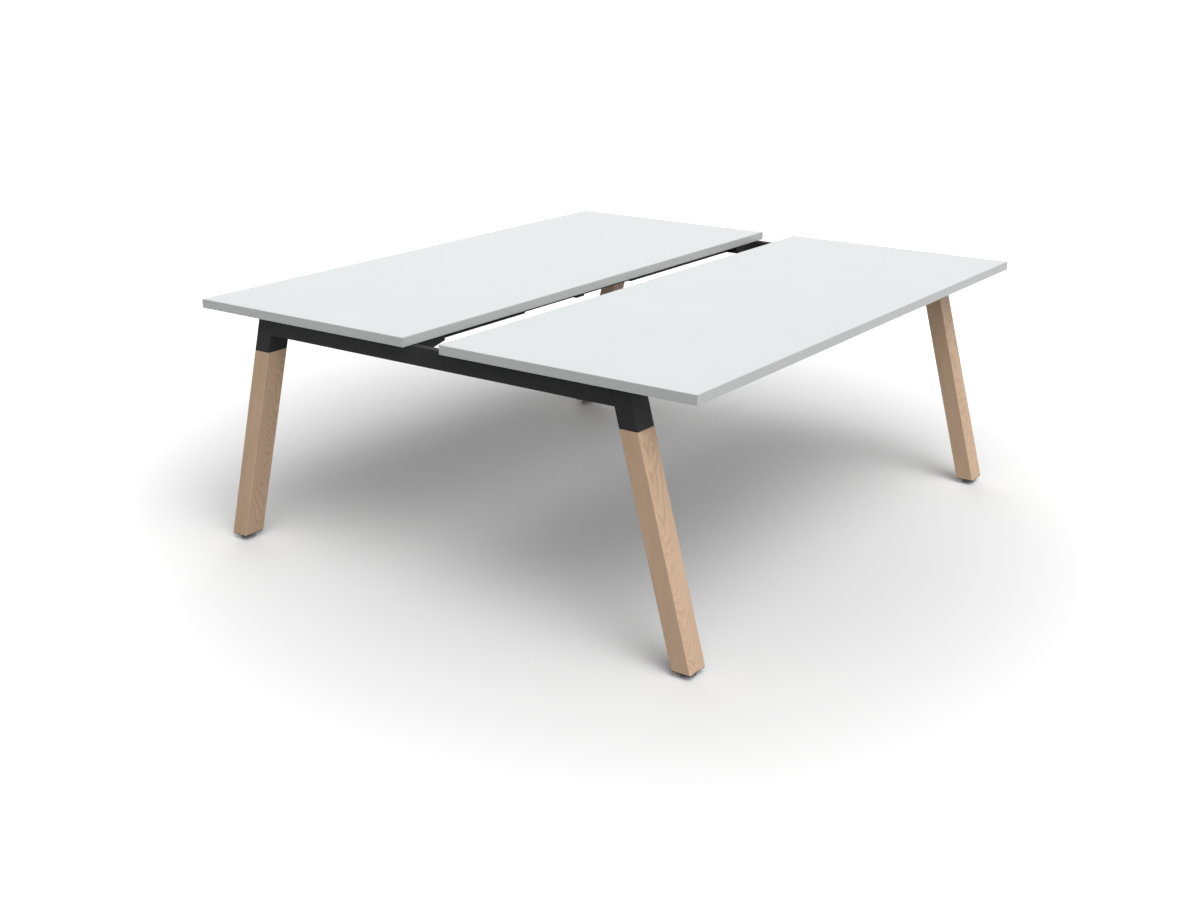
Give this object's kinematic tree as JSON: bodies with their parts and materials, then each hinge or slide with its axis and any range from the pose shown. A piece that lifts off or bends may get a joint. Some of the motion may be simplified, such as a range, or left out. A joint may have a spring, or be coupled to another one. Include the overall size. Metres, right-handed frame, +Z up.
{
  "type": "two-person bench desk",
  "caption": "Bench desk with white tops face to face across a cable gap, on a black steel frame with leaning oak legs in sockets and screw-in levelling feet.",
  "frame": {"origin": "on the floor, under the middle of the desk", "axes": "+X along the tops from the near end to the far end, +Y towards the left top, +Z up"},
  "size_m": [1.8, 1.62, 0.715],
  "materials": {
    "white_laminate": "satin white melamine on particle board",
    "white_edging": "satin white plastic edging",
    "black_steel": "fine-textured matt black powder coat",
    "oak": "pale oak with a clear matt lacquer",
    "zinc_steel": "bright zinc plate",
    "grey_plastic": "grey moulded nylon"
  },
  "bodies": {
    "desk": {"left_top_board": "white_laminate", "left_top_inner_edge": "white_edging", "left_top_outer_edge": "white_edging", "left_top_near_edge": "white_edging", "left_top_far_edge": "white_edging", "left_beam_inner_tube": "black_steel", "left_beam_collar": "black_steel", "left_collar_inner_screw": "zinc_steel", "left_collar_outer_screw": "zinc_steel", "right_top_board": "white_laminate", "right_top_inner_edge": "white_edging", "right_top_outer_edge": "white_edging", "right_top_near_edge": "white_edging", "right_top_far_edge": "white_edging", "right_beam_inner_tube": "black_steel", "right_beam_collar": "black_steel", "right_collar_inner_screw": "zinc_steel", "right_collar_outer_screw": "zinc_steel", "near_end_rail": "black_steel", "far_end_rail": "black_steel", "near_left_beam_outer_tube": "black_steel", "near_left_support_arm": "black_steel", "near_left_leg_socket": "black_steel", "near_left_foot_plate": "black_steel", "near_left_beam_lock_bolt": "zinc_steel", "near_left_arm_screw": "zinc_steel", "near_left_leg_bolt": "zinc_steel", "near_left_leg": "oak", "near_right_beam_outer_tube": "black_steel", "near_right_support_arm": "black_steel", "near_right_leg_socket": "black_steel", "near_right_foot_plate": "black_steel", "near_right_beam_lock_bolt": "zinc_steel", "near_right_arm_screw": "zinc_steel", "near_right_leg_bolt": "zinc_steel", "near_right_leg": "oak", "far_left_beam_outer_tube": "black_steel", "far_left_support_arm": "black_steel", "far_left_leg_socket": "black_steel", "far_left_foot_plate": "black_steel", "far_left_beam_lock_bolt": "zinc_steel", "far_left_arm_screw": "zinc_steel", "far_left_leg_bolt": "zinc_steel", "far_left_leg": "oak", "far_right_beam_outer_tube": "black_steel", "far_right_support_arm": "black_steel", "far_right_leg_socket": "black_steel", "far_right_foot_plate": "black_steel", "far_right_beam_lock_bolt": "zinc_steel", "far_right_arm_screw": "zinc_steel", "far_right_leg_bolt": "zinc_steel", "far_right_leg": "oak"},
    "near_left_pad": {"near_left_foot_pad": "grey_plastic"},
    "near_left_stud": {"near_left_foot_stud": "zinc_steel"},
    "near_right_pad": {"near_right_foot_pad": "grey_plastic"},
    "near_right_stud": {"near_right_foot_stud": "zinc_steel"},
    "far_left_pad": {"far_left_foot_pad": "grey_plastic"},
    "far_left_stud": {"far_left_foot_stud": "zinc_steel"},
    "far_right_pad": {"far_right_foot_pad": "grey_plastic"},
    "far_right_stud": {"far_right_foot_stud": "zinc_steel"}
  },
  "joints": [
    {"name": "near_left_foot_travel", "type": "slide", "parent": "desk", "child": "near_left_pad", "axis": [0, 0, -1], "range_m": [0, 0.015]},
    {"name": "near_left_foot_turn", "type": "hinge", "parent": "near_left_pad", "child": "near_left_stud", "pos_m": [-0.841, 0.76328, 0.01], "axis": [0, 0, -1], "range_deg": [0, 4320]},
    {"name": "near_right_foot_travel", "type": "slide", "parent": "desk", "child": "near_right_pad", "axis": [0, 0, -1], "range_m": [0, 0.015]},
    {"name": "near_right_foot_turn", "type": "hinge", "parent": "near_right_pad", "child": "near_right_stud", "pos_m": [-0.841, -0.76328, 0.01], "axis": [0, 0, -1], "range_deg": [0, 4320]},
    {"name": "far_left_foot_travel", "type": "slide", "parent": "desk", "child": "far_left_pad", "axis": [0, 0, -1], "range_m": [0, 0.015]},
    {"name": "far_left_foot_turn", "type": "hinge", "parent": "far_left_pad", "child": "far_left_stud", "pos_m": [0.841, 0.76328, 0.01], "axis": [0, 0, -1], "range_deg": [0, 4320]},
    {"name": "far_right_foot_travel", "type": "slide", "parent": "desk", "child": "far_right_pad", "axis": [0, 0, -1], "range_m": [0, 0.015]},
    {"name": "far_right_foot_turn", "type": "hinge", "parent": "far_right_pad", "child": "far_right_stud", "pos_m": [0.841, -0.76328, 0.01], "axis": [0, 0, -1], "range_deg": [0, 4320]}
  ],
  "couplings": [
    {"joint": "near_left_foot_turn", "follows": "near_left_foot_travel", "rad_per_m": 5026.5},
    {"joint": "near_right_foot_turn", "follows": "near_right_foot_travel", "rad_per_m": 5026.5},
    {"joint": "far_left_foot_turn", "follows": "far_left_foot_travel", "rad_per_m": 5026.5},
    {"joint": "far_right_foot_turn", "follows": "far_right_foot_travel", "rad_per_m": 5026.5}
  ]
}
